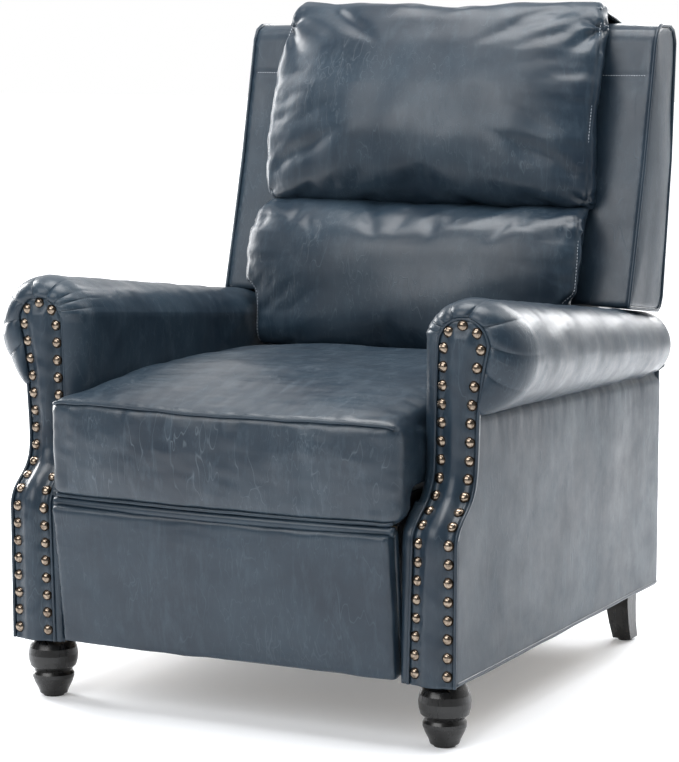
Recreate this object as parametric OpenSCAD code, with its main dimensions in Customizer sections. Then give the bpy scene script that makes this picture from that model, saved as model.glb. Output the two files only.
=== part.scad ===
// Push-back recliner armchair: rolled arms on a timber base, and a seat carried on swing links.
// The back pivots on the seat, and a folding linkage under the seat throws out the footrest.
// Millimetres. X runs across the chair, the front faces -Y, Z is up and the floor is Z = 0.
// "left" and "right" are the sitter's own, so left is +X.

/* [Overall] */
// outer width of the base
base_w = 690; // [640:1:740]
// depth of the arms from front to rear
arm_d = 770; // [720:1:800]
// underside of the base above the floor
base_z = 91; // [70:1:110]
// clear width between the arms
seat_w = 536; // [500:1:560]

/* [Arms] */
// height of the arm roll's centre at its front end
roll_z = 526; // [480:1:560]
// radius of the arm roll at its front end
roll_r = 80; // [60:1:90]
// drop of the roll's centre towards the rear
roll_drop = 56; // [20:1:70]
// radius of the arm roll at its rear end
roll_rear_r = 47; // [35:1:60]
// thickness of the padded front facing
facing_t = 14; // [8:1:20]
// thickness of the wooden arm boards
board_t = 8; // [6:1:12]
// nails in one row of a front facing
nail_rows = 19; // [8:1:24]
// distance between neighbouring nails
nail_pitch = 24.7; // [20:0.1:32]
// diameter of a nail head
nail_d = 12; // [8:0.5:14]

/* [Seat] */
// width of the seat cushion
cushion_w = 528; // [500:1:534]
// bottom of the cushion's front border
cushion_z = 303; // [290:1:320]
// top of the cushion's front border
cushion_top = 444; // [400:1:460]
// highest point of the cushion's crown
crown_z = 466; // [440:1:490]

/* [Back] */
// outer width of the back frame
back_w = 695; // [640:1:720]
// top of the back frame
back_top = 962; // [900:1:1000]
// top of the headrest cushion
head_top = 997; // [940:1:1040]
// width of the headrest cushion
head_w = 554; // [500:1:600]
// width of the lumbar cushion
lumbar_w = 580; // [500:1:620]
// depth of a wooden back stile
stile_d = 50; // [35:1:60]

/* [Footrest] */
// width of the footrest pad
pad_w = 530; // [480:1:534]
// thickness of the footrest pad
pad_t = 25; // [15:1:35]
// length of the front links, pivot to pivot
front_link = 145.7; // [120:0.1:170]
// length of the main links, elbow to footrest hinge
main_link = 153.9; // [120:0.1:180]

/* [Mechanism] */
// thickness of every steel link and plate
steel_t = 4; // [3:0.5:5]
// width of a steel link
link_w = 18; // [14:1:22]
// diameter of every pivot pin
pin_d = 8; // [6:0.5:10]
// radial running clearance between a pin and its bore
pin_gap = 0.05; // [0.02:0.01:0.1]
// length of the swing links that carry the seat
swing_link = 110; // [90:1:130]
// lean of the swing links at rest
swing_lean = 10.5; // [5:0.5:15]

/* [Legs] */
// largest diameter of the turned front feet
foot_d = 72; // [50:1:80]
// width of the square rear legs at the top
leg_w = 40; // [30:1:50]

/* [Hidden] */
$fn = 48;

// main planes
front_y = -arm_d / 2 - 5;
rear_y = front_y + arm_d;
base_x = base_w / 2;
arm_x = seat_w / 2;
cover_t = 8;
pad_skin = 4;

// the arm boards, from the inside outwards
inner_x = arm_x + pad_skin;
outer_x = base_x - cover_t - board_t;

// layers of steel across the chair, from the arm inwards, with a washer's width between them
layer_step = 2 * steel_t;
pin_head = 0.7 * steel_t;
plate_x0 = arm_x;
swing_x = arm_x - layer_step;
seat_plate_x = swing_x - layer_step;
rear_link_x = seat_plate_x - layer_step;
front_link_x = rear_link_x - layer_step;
main_x = front_link_x - layer_step;
bracket_x = main_x - layer_step;

// pivots in the YZ plane at rest
swing_front = [front_y + 270, 165];
swing_rear = [front_y + 600, 165];
swing_step = swing_link * [sin(swing_lean), cos(swing_lean)];
back_pivot = [front_y + 735, 330];
front_link_pivot = [front_y + 62, 285];
rear_link_pivot = [front_y + 30.2, 243.4];
elbow = front_link_pivot + front_link * [cos(274.787), sin(274.787)];
footrest_pivot = elbow + main_link * [cos(104.975), sin(104.975)];
rear_link_end = elbow + 25 * [cos(209.605), sin(209.605)];

// the front of an arm in side view: straight, then an S towards the narrower neck
arm_front = [
    [0, base_z], [0, 290], [4, 300], [13, 310], [26, 320], [38, 329],
    [47, 339], [53, 352], [56, 368], [57, 390], [56, 430], [54, 600]
];
function flip(points) = [for (i = [len(points) - 1 : -1 : 0]) points[i]];
function shift_y(points, d) = [for (p = points) [p[0] + d, p[1]]];
function arm_front_y(z) = front_y + lookup(z, [for (p = arm_front) [p[1], p[0]]]);
function arm_lean(z) = atan2(arm_front_y(z + 5) - arm_front_y(z - 5), 10);
function nail_z(n) = n == 0 ? base_z + 16 : nail_z(n - 1) + nail_pitch * cos(arm_lean(nail_z(n - 1)));

// the two ends of the arm roll, and its underside where the arm's timber enters it
roll_start = [base_x - 8, front_y + 56 + facing_t, roll_z];
roll_end = [base_x - 27, rear_y - 5, roll_z - roll_drop];

blue = [0.20, 0.27, 0.34];
timber = [0.72, 0.55, 0.36];
black = [0.06, 0.06, 0.06];
steel = [0.55, 0.56, 0.58];
bronze = [0.45, 0.36, 0.22];

// ---------- helpers ----------

// a YZ outline made into a plate from x0 to x1
module plate_x(x0, x1) {
    translate([x0, 0, 0])
        rotate([90, 0, 90])
            linear_extrude(x1 - x0) children();
}

// an XZ outline made into a plate from y0 to y1
module plate_y(y0, y1) {
    translate([0, y1, 0])
        rotate([90, 0, 0])
            linear_extrude(y1 - y0) children();
}

module both_sides() {
    children();
    mirror([1, 0, 0]) children();
}

module left_rod(x0, x1, at, d) {
    translate([x0, at[0], at[1]])
        rotate([0, 90, 0]) cylinder(h = x1 - x0, d = d);
}

// a flat steel link with round ends, drawn in YZ, its straight part a hair narrower than its ends
module link_outline(a, b, w) {
    side = 0.49 * w * [-(b - a)[1], (b - a)[0]] / norm(b - a);
    translate(a) circle(d = w);
    translate(b) circle(d = w);
    polygon([a + side, b + side, b - side, a - side]);
}

module bore_outline(at) {
    translate(at) circle(d = pin_d + 2 * pin_gap);
}

// a hole that grips its pin
module fixed_hole(at) {
    translate(at) circle(d = pin_d);
}

// a pin held in the plate at x, with a shoulder and a head round the running link some layers inwards
module inward_pin(x, at, layers = 1) {
    link = x - layers * layer_step;
    left_rod(link - pin_head, x + steel_t, at, pin_d);
    left_rod(link + steel_t, x, at, 2 * pin_d);
    left_rod(link - pin_head, link, at, 2 * pin_d - 2);
}

// the same pin, but with the running link some layers outwards
module outward_pin(x, at, layers = 1) {
    link = x + layers * layer_step;
    left_rod(x, link + steel_t + pin_head, at, pin_d);
    left_rod(x + steel_t, link, at, 2 * pin_d);
    left_rod(link + steel_t, link + steel_t + pin_head, at, 2 * pin_d - 2);
}

// a cone through two end points that runs on past both of them
module long_cone(a, b, ra, rb, extra) {
    d = b - a;
    grow = extra * (ra - rb) / norm(d);
    translate(a - extra * d / norm(d))
        rotate([0, acos(d[2] / norm(d)), atan2(d[1], d[0])])
            cylinder(h = norm(d) + 2 * extra, r1 = ra + grow, r2 = rb - grow);
}

// ---------- arms ----------

// side view of an arm board that stops a little under the roll
module arm_board_outline(top_front, top_rear) {
    y0 = front_y + facing_t + 2;
    y1 = front_y + 56 + facing_t + 2;
    polygon([
        [y0, base_z + 1], [y0, 284], [y1, 344], [y1, top_front],
        [rear_y - 15, top_rear], [rear_y - 15, base_z + 1]
    ]);
}

module arm_panel_inner_left() {
    color(timber) plate_x(inner_x, inner_x + board_t) arm_board_outline(466, 440);
}

module arm_panel_inner_right() {
    mirror([1, 0, 0]) arm_panel_inner_left();
}

module arm_panel_outer_left() {
    color(timber) plate_x(outer_x, outer_x + board_t) arm_board_outline(448, 421);
}

module arm_panel_outer_right() {
    mirror([1, 0, 0]) arm_panel_outer_left();
}

// vertical hole for a leg's hanger bolt
module bolt_hole(x, y) {
    translate([x, y, base_z]) cylinder(h = 62, d = 8);
}

front_foot_at = [base_x - 34, front_y + 45];
rear_leg_at = [base_x - 45, rear_y - 42];

module arm_front_posts() {
    y0 = front_y + facing_t + 2;
    y1 = front_y + 56 + facing_t + 2;
    color(timber) both_sides() difference() {
        plate_x(inner_x + board_t, outer_x)
            polygon([[y0, base_z + 1], [y0, 284], [y1, 344], [y1, 424], [y1 + 40, 422], [y1 + 40, base_z + 1]]);
        bolt_hole(front_foot_at[0], front_foot_at[1]);
    }
}

module arm_rear_posts() {
    color(timber) both_sides() difference() {
        translate([inner_x + board_t, rear_y - 65, base_z + 1])
            cube([outer_x - inner_x - board_t, 50, 398 - base_z]);
        bolt_hole(rear_leg_at[0], rear_leg_at[1]);
    }
}

module arm_lower_rails() {
    y0 = front_y + 56 + facing_t + 42;
    color(timber) both_sides()
        translate([inner_x + board_t, y0, base_z + 1])
            cube([outer_x - inner_x - board_t, rear_y - 65 - y0, 30]);
}

module arm_top_rails() {
    y0 = front_y + 56 + facing_t + 2;
    y1 = rear_y - 15;
    color(timber) both_sides()
        plate_x(inner_x + board_t, outer_x)
            polygon([[y0, 426], [y0, 450], [y1, 423], [y1, 399]]);
}

module arm_roll_left() {
    y0 = roll_start[1];
    y1 = roll_end[1];
    color(blue) difference() {
        intersection() {
            long_cone(roll_start, roll_end, roll_r, roll_rear_r, 30);
            // flat ends, square to the chair
            translate([0, y0, 300]) cube([500, y1 - y0, 400]);
        }
        // room for the arm's timber
        plate_x(inner_x + board_t - 1, outer_x + board_t + 1)
            polygon([[y0 - 60, 200], [y0 - 60, 458], [y1 + 60, 425], [y1 + 60, 200]]);
    }
}

module arm_roll_right() {
    mirror([1, 0, 0]) arm_roll_left();
}

// the upholstered inside of an arm, above the seat's mechanism
module arm_pad_left() {
    y0 = front_y + 56 + facing_t + 2;
    color(blue) plate_x(arm_x, inner_x)
        polygon([[y0, 300], [y0, 464], [rear_y - 15, 438], [rear_y - 15, 300]]);
}

module arm_pad_right() {
    mirror([1, 0, 0]) arm_pad_left();
}

module arm_facing_left() {
    color(blue) intersection() {
        plate_x(inner_x - 10, base_x + 40)
            polygon(concat(shift_y(arm_front, front_y), flip(shift_y(arm_front, front_y + facing_t))));
        plate_y(front_y - 10, front_y + 100) {
            polygon([
                [inner_x, base_z], [base_x, base_z], [base_x + 2, 280], [base_x + 7, 430],
                [base_x + 18, 520], [base_x - 45, 520], [base_x - 54, 430], [inner_x, 280]
            ]);
            translate([base_x - 14, 541]) circle(r = 36);
        }
    }
}

module arm_facing_right() {
    mirror([1, 0, 0]) arm_facing_left();
}

module side_cover_left() {
    y0 = front_y + facing_t + 2;
    y1 = front_y + 56 + facing_t + 2;
    color(blue) plate_x(base_x - cover_t, base_x)
        polygon([[y0, base_z], [y0, 284], [y1, 344], [y1, 438], [rear_y, 412], [rear_y, base_z]]);
}

module side_cover_right() {
    mirror([1, 0, 0]) side_cover_left();
}

// one domed nail head, standing square on the facing
module nail(x, z) {
    translate([x, arm_front_y(z), z])
        rotate([90 - arm_lean(z), 0, 0])
            translate([0, 0, -0.6]) {
                cylinder(h = 2.2, d1 = nail_d, d2 = 0.82 * nail_d, $fn = 20);
                translate([0, 0, 2.2]) cylinder(h = 1.2, d1 = 0.82 * nail_d, d2 = 0.4 * nail_d, $fn = 20);
            }
}

function nail_inner_x(z) = base_x - 45 + lookup(z, [[107, -14], [270, -7], [450, -0.5], [540, 3.5]]);
function nail_outer_x(z) = base_x + lookup(z, [[107, -11], [270, -8], [410, -6], [540, 10.5]]);

module facing_nails_left() {
    color(bronze) {
        for (n = [0 : nail_rows - 1]) {
            nail(nail_inner_x(nail_z(n)), nail_z(n));
            nail(nail_outer_x(nail_z(n)), nail_z(n));
        }
        nail(base_x - 12, roll_z + 40);
    }
}

module facing_nails_right() {
    mirror([1, 0, 0]) facing_nails_left();
}

// ---------- legs and base ----------

// turned foot: a ball over a smaller bulge that tapers to the floor
module front_foot_left() {
    r = foot_d / 2;
    color(black) translate([front_foot_at[0], front_foot_at[1], 0])
        difference() {
            rotate_extrude() polygon([
                [0, 4], [20, 4], [22, 10], [27, 20], [30, 28], [30, 33], [27.5, 37], [27, 39],
                [r - 3, 45], [r - 0.8, 53], [r, 62], [r - 1.5, 72], [r - 5, 80], [r - 9, 86],
                [r - 12, base_z - 0.5], [0, base_z - 0.5]
            ]);
            translate([0, 0, 55]) cylinder(h = 60, d = 8);
        }
}

module front_foot_right() {
    mirror([1, 0, 0]) front_foot_left();
}

// square leg, tapered and raked backwards with a slight curve
module rear_leg_left() {
    y = rear_leg_at[1];
    x = rear_leg_at[0];
    color(black) difference() {
        intersection() {
            plate_x(x - 40, x + 40) polygon([
                [y - 20, base_z], [y - 15, 60], [y - 4, 30], [y + 9, 4],
                [y + 39, 4], [y + 28, 30], [y + 22, 60], [y + 20, base_z]
            ]);
            plate_y(y - 60, y + 60) polygon([
                [x - leg_w / 2, base_z], [x - leg_w / 2 + 5, 4], [x + leg_w / 2 - 5, 4], [x + leg_w / 2, base_z]
            ]);
        }
        translate([x, y, 55]) cylinder(h = 60, d = 8);
    }
}

module rear_leg_right() {
    mirror([1, 0, 0]) rear_leg_left();
}

module leg_glides() {
    color(black) both_sides() {
        translate([front_foot_at[0], front_foot_at[1], 0]) cylinder(h = 4, d = 30);
        translate([rear_leg_at[0], rear_leg_at[1] + 24, 0]) cylinder(h = 4, d = 22);
    }
}

module hanger_bolts() {
    color(steel) both_sides() {
        translate([front_foot_at[0], front_foot_at[1], 57]) cylinder(h = 90, d = 8);
        translate([rear_leg_at[0], rear_leg_at[1], 57]) cylinder(h = 90, d = 8);
    }
}

module rear_rail() {
    color(timber) translate([-arm_x, rear_y - 55, base_z + 1]) cube([seat_w, 40, 55]);
}

module front_stretcher() {
    color(timber) translate([-arm_x, front_y + 150, base_z + 1]) cube([seat_w, 28, 34]);
}

module base_rear_cover() {
    color(blue) translate([cover_t - base_x, rear_y - 14, base_z])
        cube([base_w - 2 * cover_t, 14, 249]);
}

module base_plate_left() {
    x1 = plate_x0 + steel_t;
    color(steel) difference() {
        plate_x(plate_x0, x1) polygon([
            swing_front + [-60, -26], swing_front + [-60, 8], swing_front + [-22, 8], swing_front + [-10, 22],
            swing_rear + [10, 22], swing_rear + [22, 8], swing_rear + [60, 8], swing_rear + [60, -26]
        ]);
        left_rod(plate_x0 - 1, x1 + 1, swing_front, pin_d);
        left_rod(plate_x0 - 1, x1 + 1, swing_rear, pin_d);
    }
}

module base_plate_right() {
    mirror([1, 0, 0]) base_plate_left();
}

module base_pins() {
    color(steel) both_sides() {
        inward_pin(plate_x0, swing_front);
        inward_pin(plate_x0, swing_rear);
    }
}

// ---------- swing links ----------

module swing_pair(foot) {
    color(steel) both_sides()
        plate_x(swing_x, swing_x + steel_t) difference() {
            link_outline(foot, foot + swing_step, 26);
            bore_outline(foot);
            bore_outline(foot + swing_step);
        }
}

module rear_swing_links() {
    swing_pair(swing_rear);
}

module front_swing_links() {
    swing_pair(swing_front);
}

// ---------- seat ----------

module seat_plate_left() {
    x1 = seat_plate_x + steel_t;
    color(steel) difference() {
        plate_x(seat_plate_x, x1) polygon([
            rear_link_pivot + [-8, -11], rear_link_pivot + [-12, 0], [front_y + 24, 270], [front_y + 24, 338],
            [front_y + 600, 338], back_pivot + [-10, 12], back_pivot + [6, 12], back_pivot + [13, 4],
            back_pivot + [13, -6], back_pivot + [4, -13], [front_y + 620, 276], [front_y + 590, 260],
            [front_y + 60, 260], rear_link_pivot + [12, -6], rear_link_pivot + [6, -11]
        ]);
        for (at = [front_link_pivot, rear_link_pivot, swing_front + swing_step, swing_rear + swing_step, back_pivot])
            left_rod(seat_plate_x - 1, x1 + 1, at, pin_d);
    }
}

module seat_plate_right() {
    mirror([1, 0, 0]) seat_plate_left();
}

rail_z = 305;
rail_h = 34;
seat_rail_x = seat_plate_x;

module seat_side_rails() {
    color(timber) both_sides()
        translate([seat_rail_x - 28, front_y + 52, rail_z]) cube([28, 508, rail_h]);
}

module seat_front_rail() {
    color(timber) translate([-seat_rail_x, front_y + 24, rail_z]) cube([2 * seat_rail_x, 28, rail_h]);
}

module seat_rear_rail() {
    color(timber) translate([-seat_rail_x, front_y + 560, rail_z]) cube([2 * seat_rail_x, 36, rail_h]);
}

// flat outline of one sinuous wire spring along +Y
module spring_outline(length, width) {
    turns = 2 * floor(length / 44);
    step = length / turns;
    for (i = [0 : turns]) {
        translate([-width / 2, i * step - 2]) square([width, 4]);
        if (i < turns)
            translate([i % 2 == 0 ? width / 2 - 4 : -width / 2, i * step]) square([4, step]);
    }
}

module seat_springs() {
    color(steel) for (x = [-180 : 90 : 180])
        translate([x, front_y + 32, rail_z + rail_h])
            linear_extrude(4) spring_outline(546, 50);
}

// thick pad with a deep front border that hangs over the front rail
module seat_cushion() {
    color(blue) plate_x(-cushion_w / 2, cushion_w / 2) polygon([
        [front_y + 18, cushion_z], [front_y - 16, cushion_z], [front_y - 28, 340], [front_y - 30, 400],
        [front_y - 20, cushion_top - 6], [front_y - 4, cushion_top], [front_y + 44, crown_z - 14],
        [front_y + 110, crown_z - 4], [front_y + 200, crown_z], [front_y + 340, crown_z],
        [front_y + 480, crown_z - 10], [front_y + 560, crown_z - 20], [front_y + 600, crown_z - 30],
        [front_y + 602, 345], [front_y + 18, 345]
    ]);
}

module seat_pins() {
    color(steel) both_sides() {
        inward_pin(seat_plate_x, front_link_pivot, 2);
        inward_pin(seat_plate_x, rear_link_pivot);
        inward_pin(seat_plate_x, back_pivot);
        outward_pin(seat_plate_x, swing_front + swing_step);
        outward_pin(seat_plate_x, swing_rear + swing_step);
    }
}

// ---------- back ----------

// middle of the stiles in side view
stile_foot = [front_y + 712, 348];
stile_head = [front_y + 762, 940];
stile_x = rear_link_x;
stile_w = 28;

module back_stile_left() {
    color(timber) plate_x(stile_x - stile_w, stile_x) polygon([
        stile_foot - [stile_d / 2, 0], stile_foot + [stile_d / 2, 0],
        stile_head + [stile_d / 2, 0], stile_head - [stile_d / 2, 0]
    ]);
}

module back_stile_right() {
    mirror([1, 0, 0]) back_stile_left();
}

module back_top_rail() {
    color(timber) translate([stile_w - stile_x, stile_head[0] - 22, 890])
        cube([2 * (stile_x - stile_w), 44, 50]);
}

module back_bottom_rail() {
    color(timber) translate([stile_w - stile_x, stile_foot[0] - 20, 350])
        cube([2 * (stile_x - stile_w), 40, 45]);
}

module back_brackets() {
    color(steel) both_sides()
        plate_x(stile_x, stile_x + steel_t) difference() {
            union() {
                link_outline(back_pivot, [front_y + 718, 372], 26);
                link_outline([front_y + 718, 372], [front_y + 728, 500], 26);
            }
            bore_outline(back_pivot);
        }
}

module back_springs() {
    tilt = atan2(45, 545);
    color(steel) for (x = [-160 : 80 : 160])
        translate([x, front_y + 686, 368])
            rotate([90 - tilt, 0, 0])
                linear_extrude(4) spring_outline(545, 46);
}

// upholstered side of the back, whose underside follows the slope of the arm roll
module back_wing_left() {
    color(blue) plate_x(stile_x + 2, back_w / 2) polygon(shift_y([
        [624, 542], [682, 752], [724, 940], [734, 955], [750, back_top], [782, back_top],
        [803, 954], [812, 936], [799, 754], [768, 545], [760, 532], [750, 526]
    ], front_y));
}

module back_wing_right() {
    mirror([1, 0, 0]) back_wing_left();
}

module back_rear_cover() {
    color(blue) plate_x(-stile_x - 1, stile_x + 1) polygon(shift_y([
        [745, 345], [757, 534], [804, 937], [812, 937], [766, 534], [753, 345]
    ], front_y));
}

// pillow across the top, with a flap over the frame's top rail
module headrest_cushion() {
    color(blue) plate_x(-head_w / 2, head_w / 2) polygon(shift_y([
        [656, 688], [613, 694], [596, 724], [600, 790], [622, 870], [652, 940], [674, 978],
        [694, head_top - 2], [712, head_top], [745, 986], [790, 972], [808, 964],
        [732, 964], [716, 930], [676, 752]
    ], front_y));
}

// wide above the arm rolls and narrower where it tucks down between them
module lumbar_cushion() {
    color(blue) {
        plate_x(-lumbar_w / 2, lumbar_w / 2) polygon(shift_y([
            [618, 550], [555, 550], [545, 580], [553, 630], [572, 668], [592, 680], [646, 680], [652, 672]
        ], front_y));
        plate_x(-cushion_w / 2, cushion_w / 2) polygon(shift_y([
            [618, 550], [555, 550], [532, 500], [524, 462], [534, 458], [596, 456], [604, 500]
        ], front_y));
    }
}

// ---------- footrest linkage ----------

module front_links() {
    color(steel) both_sides()
        plate_x(front_link_x, front_link_x + steel_t) difference() {
            link_outline(front_link_pivot, elbow, link_w);
            bore_outline(front_link_pivot);
            bore_outline(elbow);
        }
}

module rear_links() {
    color(steel) both_sides()
        plate_x(rear_link_x, rear_link_x + steel_t) difference() {
            link_outline(rear_link_pivot, rear_link_end, 16);
            bore_outline(rear_link_pivot);
            // opened, because the coupled angles leave this joint about 1 mm off in mid travel
            translate(rear_link_end) circle(d = pin_d + 2.4);
        }
}

module main_links() {
    color(steel) both_sides()
        plate_x(main_x, main_x + steel_t) difference() {
            union() {
                link_outline(elbow, footrest_pivot, link_w);
                link_outline(elbow, rear_link_end, link_w);
            }
            fixed_hole(elbow);
            fixed_hole(rear_link_end);
            fixed_hole(footrest_pivot);
        }
}

module main_link_pins() {
    color(steel) both_sides() {
        outward_pin(main_x, elbow);
        outward_pin(main_x, rear_link_end, 2);
        inward_pin(main_x, footrest_pivot);
    }
}

// the footrest leans forward towards its top; these run down its two faces
pad_top = [front_y - 33, 292];
pad_foot = [front_y - 7, base_z + 2];
pad_len = norm(pad_foot - pad_top);
lean_down = (pad_foot - pad_top) / pad_len;
lean_back = [-lean_down[1], lean_down[0]];
function on_pad(depth, down) = pad_top + depth * lean_back + down * lean_down;

module footrest_pad() {
    color(blue) plate_x(-pad_w / 2, pad_w / 2) polygon([
        on_pad(pad_t, 2), on_pad(8, 0), on_pad(0, 8), on_pad(-5, pad_len / 2),
        on_pad(0, pad_len - 8), on_pad(8, pad_len), on_pad(pad_t, pad_len)
    ]);
}

module footrest_board() {
    color(timber) plate_x(15 - pad_w / 2, pad_w / 2 - 15) polygon([
        on_pad(pad_t + 0.5, 5), on_pad(pad_t + 12.5, 5),
        on_pad(pad_t + 12.5, pad_len - 5), on_pad(pad_t + 0.5, pad_len - 5)
    ]);
}

module footrest_brackets() {
    back = pad_t + 12.8;
    color(steel) both_sides() {
        plate_x(bracket_x, bracket_x + steel_t) difference() {
            union() {
                translate(footrest_pivot) circle(r = 10);
                polygon([
                    on_pad(back, 6), on_pad(back, 90), on_pad(back + 9, 90),
                    footrest_pivot + [8, -5], footrest_pivot + [-2, 9]
                ]);
            }
            bore_outline(footrest_pivot);
        }
        plate_x(bracket_x - 20, bracket_x)
            polygon([on_pad(back, 6), on_pad(back, 90), on_pad(back + 3, 90), on_pad(back + 3, 6)]);
    }
}

arm_panel_inner_left();
arm_panel_inner_right();
arm_panel_outer_left();
arm_panel_outer_right();
arm_front_posts();
arm_rear_posts();
arm_lower_rails();
arm_top_rails();
arm_roll_left();
arm_roll_right();
arm_pad_left();
arm_pad_right();
arm_facing_left();
arm_facing_right();
side_cover_left();
side_cover_right();
facing_nails_left();
facing_nails_right();
front_foot_left();
front_foot_right();
rear_leg_left();
rear_leg_right();
leg_glides();
hanger_bolts();
rear_rail();
front_stretcher();
base_rear_cover();
base_plate_left();
base_plate_right();
base_pins();
rear_swing_links();
front_swing_links();
seat_plate_left();
seat_plate_right();
seat_side_rails();
seat_front_rail();
seat_rear_rail();
seat_springs();
seat_cushion();
seat_pins();
back_stile_left();
back_stile_right();
back_top_rail();
back_bottom_rail();
back_brackets();
back_springs();
back_wing_left();
back_wing_right();
back_rear_cover();
headrest_cushion();
lumbar_cushion();
front_links();
rear_links();
main_links();
main_link_pins();
footrest_board();
footrest_pad();
footrest_brackets();
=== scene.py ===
"""The looks of the push-back recliner armchair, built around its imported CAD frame.

Metres, in the row frame: X across the chair, the front faces -Y, Z up from the floor.
"left" is the sitter's left, which is +X. Lengths in names that end in _mm are millimetres.
"""
import math

import bmesh
import bpy
import numpy as np
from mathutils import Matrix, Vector
from mathutils.bvhtree import BVHTree
from mathutils.kdtree import KDTree


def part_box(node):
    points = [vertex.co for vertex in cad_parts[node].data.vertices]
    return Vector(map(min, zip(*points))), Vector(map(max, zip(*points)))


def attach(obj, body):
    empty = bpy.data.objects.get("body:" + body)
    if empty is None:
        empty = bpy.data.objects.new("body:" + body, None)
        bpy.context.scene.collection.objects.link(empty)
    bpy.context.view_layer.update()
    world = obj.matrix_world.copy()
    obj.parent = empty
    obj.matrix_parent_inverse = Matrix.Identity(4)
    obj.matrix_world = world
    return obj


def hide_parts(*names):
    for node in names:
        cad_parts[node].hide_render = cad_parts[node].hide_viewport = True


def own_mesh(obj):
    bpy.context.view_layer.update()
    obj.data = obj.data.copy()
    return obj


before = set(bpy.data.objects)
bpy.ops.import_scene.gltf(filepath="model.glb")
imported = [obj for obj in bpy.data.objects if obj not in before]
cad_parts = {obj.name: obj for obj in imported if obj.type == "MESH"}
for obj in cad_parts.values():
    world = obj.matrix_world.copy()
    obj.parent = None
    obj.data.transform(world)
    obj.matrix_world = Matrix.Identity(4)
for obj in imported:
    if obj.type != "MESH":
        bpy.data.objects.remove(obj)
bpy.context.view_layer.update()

MM = 0.001

# ---------- places taken from the frame ----------

cover_low, cover_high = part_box("side_cover_left")
wing_low, wing_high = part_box("back_wing_left")
base_cover_low, base_cover_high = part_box("base_rear_cover")
back_cover_low, back_cover_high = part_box("back_rear_cover")
facing_low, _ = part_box("arm_facing_left")

FRONT = facing_low[1]
REAR = cover_high[1]
BASE_X = cover_high[0]
BASE_Z = facing_low[2]
ARM_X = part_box("arm_pad_left")[0][0]
SEAT_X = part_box("seat_cushion")[1][0]
PAD_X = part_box("footrest_pad")[1][0]
SIDES = {"left": 1.0, "right": -1.0}


def behind(distance_mm):
    """Y of a plane this far behind the front plane of the base."""
    return FRONT + distance_mm * MM


def seed_on(side, seed):
    """The two sides of the chair take neighbouring seeds, so that they aren't mirror images."""
    return seed if side == "left" else seed + 1


# ---------- small numeric helpers ----------

def smoothstep(a, b, x):
    t = np.clip((np.asarray(x, float) - a) / (b - a), 0.0, 1.0)
    return t * t * (3.0 - 2.0 * t)


def mix(a, b, t):
    return a + (b - a) * t


def waves(points, length, seed, octaves=3):
    """Smooth noise between about -1 and 1, as a sum of seeded sine waves; length is the wavelength."""
    rng = np.random.default_rng(seed)
    total = np.zeros(len(points))
    size = 1.0
    for _ in range(octaves):
        for _ in range(5):
            direction = rng.normal(size=3)
            direction *= 2.0 * math.pi / (length * np.linalg.norm(direction))
            total += size * np.sin(points @ direction + rng.uniform(0.0, 2.0 * math.pi)) / 2.6
        length *= 0.5
        size *= 0.5
    return total


def resample(points, step, closed=False):
    """Points at about equal steps along a polyline."""
    points = np.asarray(points, float)
    if closed:
        points = np.vstack([points, points[:1]])
    gaps = np.linalg.norm(np.diff(points, axis=0), axis=1)
    along = np.concatenate([[0.0], np.cumsum(gaps)])
    count = max(3, int(round(along[-1] / step)))
    targets = np.linspace(0.0, along[-1], count + 1)
    if closed:
        targets = targets[:-1]
    return np.column_stack([np.interp(targets, along, points[:, k]) for k in range(points.shape[1])])


def rounded(points):
    """Chaikin corner cutting: an open line with its corners rounded off and its ends kept."""
    points = np.asarray(points, float)
    for _ in range(3):
        start, end = points[:-1], points[1:]
        cut = np.empty((2 * len(start), points.shape[1]))
        cut[0::2] = 0.75 * start + 0.25 * end
        cut[1::2] = 0.25 * start + 0.75 * end
        points = np.vstack([points[:1], cut, points[-1:]])
    return points


def read_curve(points_mm, place):
    """Reads a given curve of (place, value) pairs in millimetres, at places in metres."""
    return MM * np.interp(np.asarray(place) / MM, [p[0] for p in points_mm], [p[1] for p in points_mm])


def outline_normals(points):
    """Outward unit normals of a closed counter-clockwise outline."""
    tangent = np.roll(points, -1, axis=0) - np.roll(points, 1, axis=0)
    tangent /= np.linalg.norm(tangent, axis=1)[:, None] + 1e-12
    return np.column_stack([tangent[:, 1], -tangent[:, 0]])


# ---------- mesh helpers ----------

def shade_smooth(mesh):
    mesh.polygons.foreach_set("use_smooth", [True] * len(mesh.polygons))


def make_object(name, verts, faces, material, body):
    mesh = bpy.data.meshes.new(name)
    mesh.from_pydata([tuple(v) for v in verts], [], faces)
    mesh.validate()
    shade_smooth(mesh)
    mesh.update()
    obj = bpy.data.objects.new(name, mesh)
    bpy.context.scene.collection.objects.link(obj)
    mesh.materials.append(material)
    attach(obj, body)
    return obj


def circle(centre, across, along, radius, count):
    """Points round a circle in the plane of two unit vectors."""
    turns = [2.0 * math.pi * k / count for k in range(count)]
    return [centre + radius * (math.cos(turn) * across + math.sin(turn) * along) for turn in turns]


def grid_faces(rows, cols, wrap_rows=False, wrap_cols=False, start=0, flip=False):
    faces = []
    for i in range(rows if wrap_rows else rows - 1):
        for j in range(cols if wrap_cols else cols - 1):
            a = start + i * cols + j
            b = start + i * cols + (j + 1) % cols
            c = start + ((i + 1) % rows) * cols + (j + 1) % cols
            d = start + ((i + 1) % rows) * cols + j
            faces.append((a, d, c, b) if flip else (a, b, c, d))
    return faces


def ring_cap(faces, verts, ring, flip=False):
    """Closes a ring of vertex indices with a fan around its middle."""
    verts.append(np.mean([verts[i] for i in ring], axis=0))
    hub = len(verts) - 1
    count = len(ring)
    for k in range(count):
        a, b = ring[k], ring[(k + 1) % count]
        faces.append((b, a, hub) if flip else (a, b, hub))


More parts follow.
